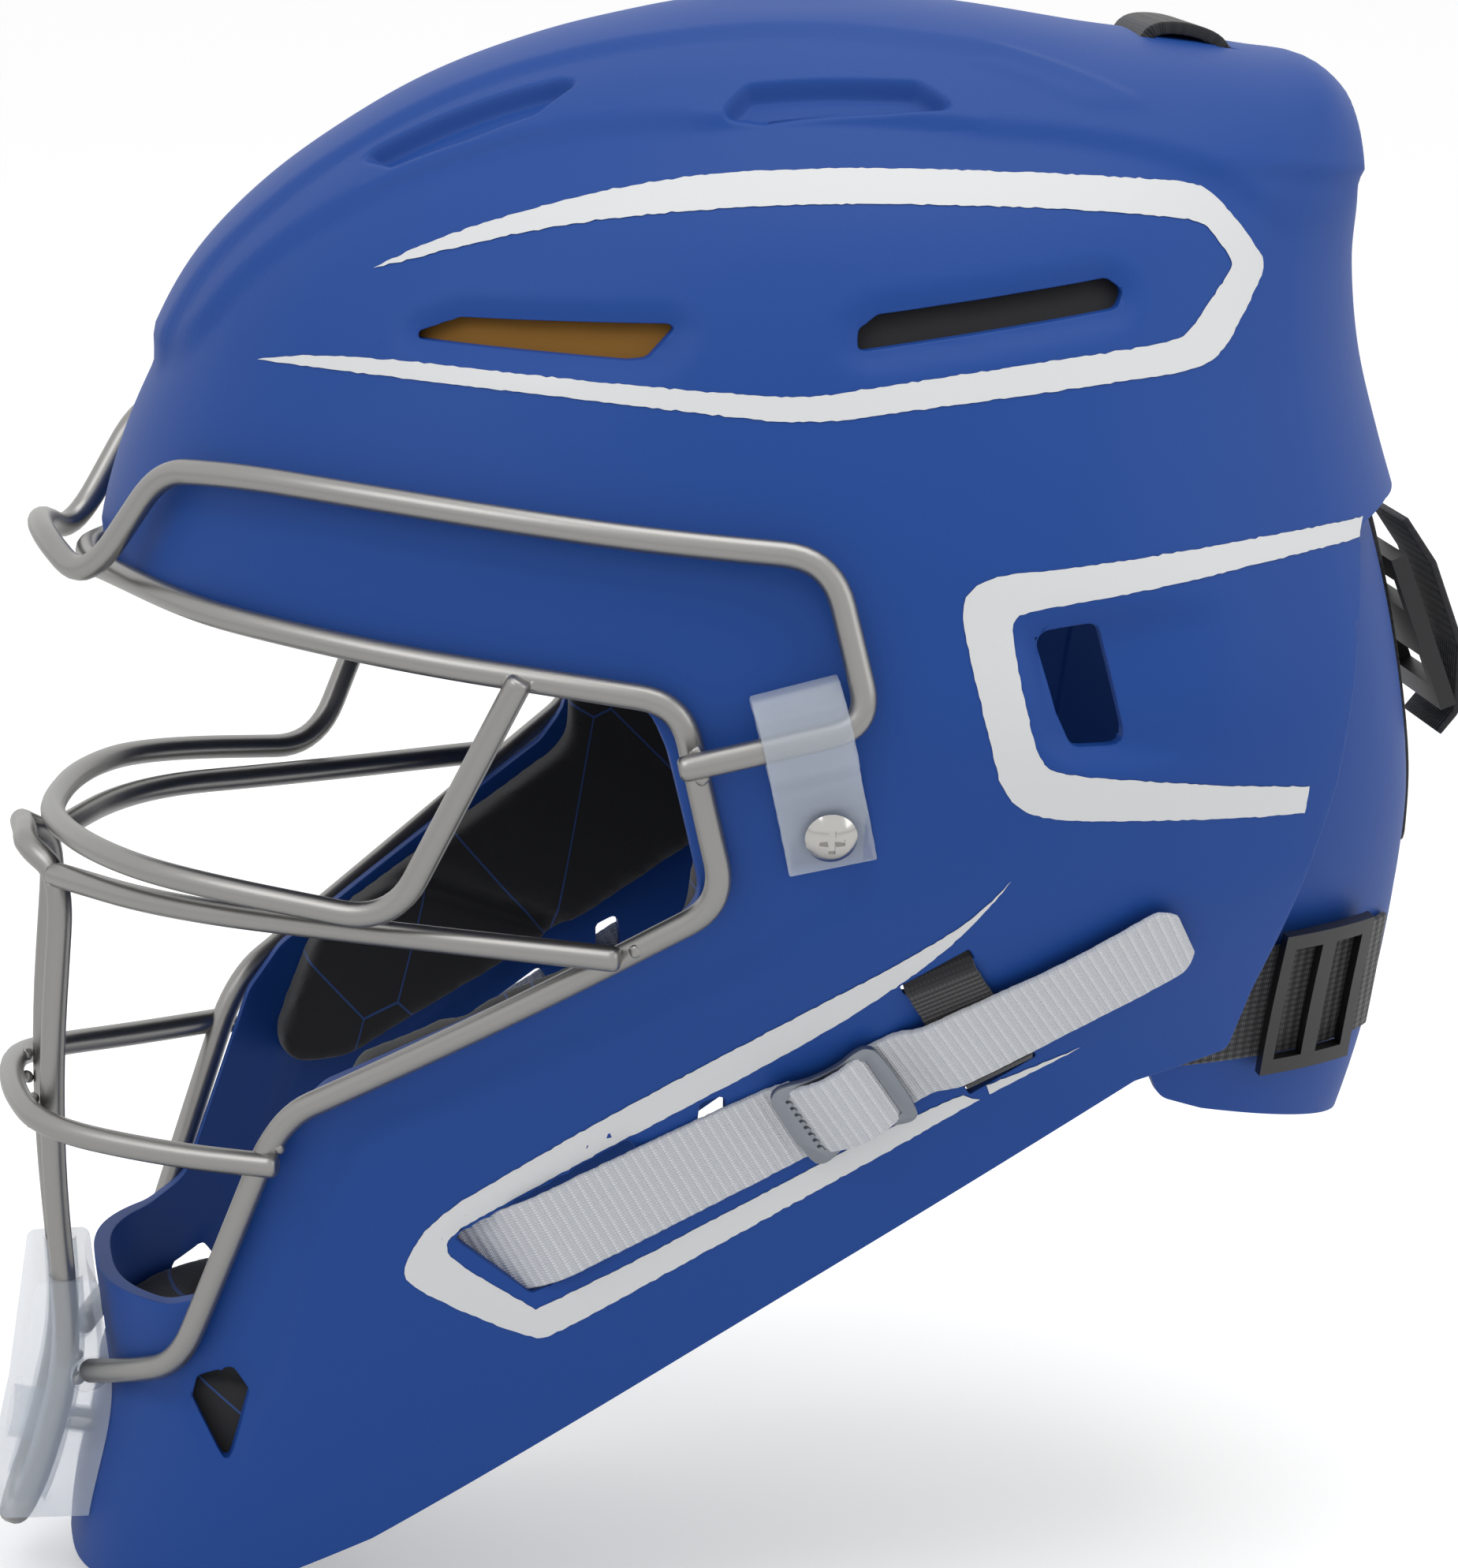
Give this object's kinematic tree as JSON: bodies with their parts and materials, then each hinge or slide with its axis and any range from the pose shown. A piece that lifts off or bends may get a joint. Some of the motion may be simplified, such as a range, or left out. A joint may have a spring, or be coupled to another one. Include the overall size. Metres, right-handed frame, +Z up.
{
  "type": "baseball catcher helmet",
  "caption": "Catcher's helmet with a moulded shell and chin cup, a welded wire face cage, inner pads, a sprung back plate and adjustable jaw straps.",
  "frame": {"origin": "middle of the wearer's head at eye level, between the jaw cheeks", "axes": "+X to the wearer's left, -Y out of the face, +Z up to the crown"},
  "size_m": [0.2326, 0.3176, 0.3274],
  "materials": {
    "shell": "fine matte, moulded",
    "wire": "satin coated wire",
    "clip": "frosted translucent rubber",
    "fastener": "zinc plated",
    "liner_foam": "open foam",
    "dark_foam": "open foam",
    "pad": "knitted cloth over foam",
    "black_strap": "woven webbing",
    "white_strap": "woven webbing",
    "slider": "stamped, tumbled",
    "buckle": "moulded"
  },
  "bodies": {
    "shell": {"outer_shell": "shell", "perimeter_bar": "wire", "visor_bar": "wire", "eye_bar": "wire", "lower_eye_bar_left": "wire", "lower_eye_bar_right": "wire", "chin_bar": "wire", "chin_loop": "wire", "side_clip_left": "clip", "side_clip_right": "clip", "chin_clip": "clip", "clip_screws": "fastener", "clip_nuts": "fastener", "front_liner_left": "liner_foam", "front_liner_right": "liner_foam", "back_liner_left": "dark_foam", "back_liner_right": "dark_foam", "temple_pad_left": "pad", "temple_pad_right": "pad", "jaw_pad_left": "pad", "jaw_pad_right": "pad", "crown_pad": "pad", "brow_pad": "pad", "back_pad": "pad", "chin_pad": "pad", "crown_strap": "black_strap", "elastic_strap_left": "black_strap", "elastic_strap_right": "black_strap", "keeper_band_left": "black_strap", "keeper_band_right": "black_strap", "chin_strap_left": "white_strap", "chin_strap_right": "white_strap", "strap_tail_left": "white_strap", "strap_tail_right": "white_strap"},
    "back_plate": {"back_plate": "shell", "plate_pad": "pad", "rear_strap": "black_strap", "rear_strap_loop": "black_strap", "upper_buckle": "buckle", "side_buckle_left": "buckle", "side_buckle_right": "buckle"},
    "strap_slider_left": {"strap_slider_left": "slider"},
    "strap_slider_right": {"strap_slider_right": "slider"}
  },
  "joints": [
    {"name": "back_plate_hinge", "type": "hinge", "parent": "shell", "child": "back_plate", "pos_m": [0, 0.134, 0.066], "axis": [1, 0, 0], "range_deg": [0, 8], "stiffness_Nm_per_rad": 4, "deforming": ["elastic_strap_left", "elastic_strap_right"]},
    {"name": "strap_slider_left_slide", "type": "slide", "parent": "shell", "child": "strap_slider_left", "axis": [0.2153, 0.8659, 0.4515], "range_m": [-0.004, 0.004], "deforming": ["strap_tail_left"]},
    {"name": "strap_slider_right_slide", "type": "slide", "parent": "shell", "child": "strap_slider_right", "axis": [-0.2153, 0.8659, 0.4515], "range_m": [-0.004, 0.004], "deforming": ["strap_tail_right"]}
  ]
}
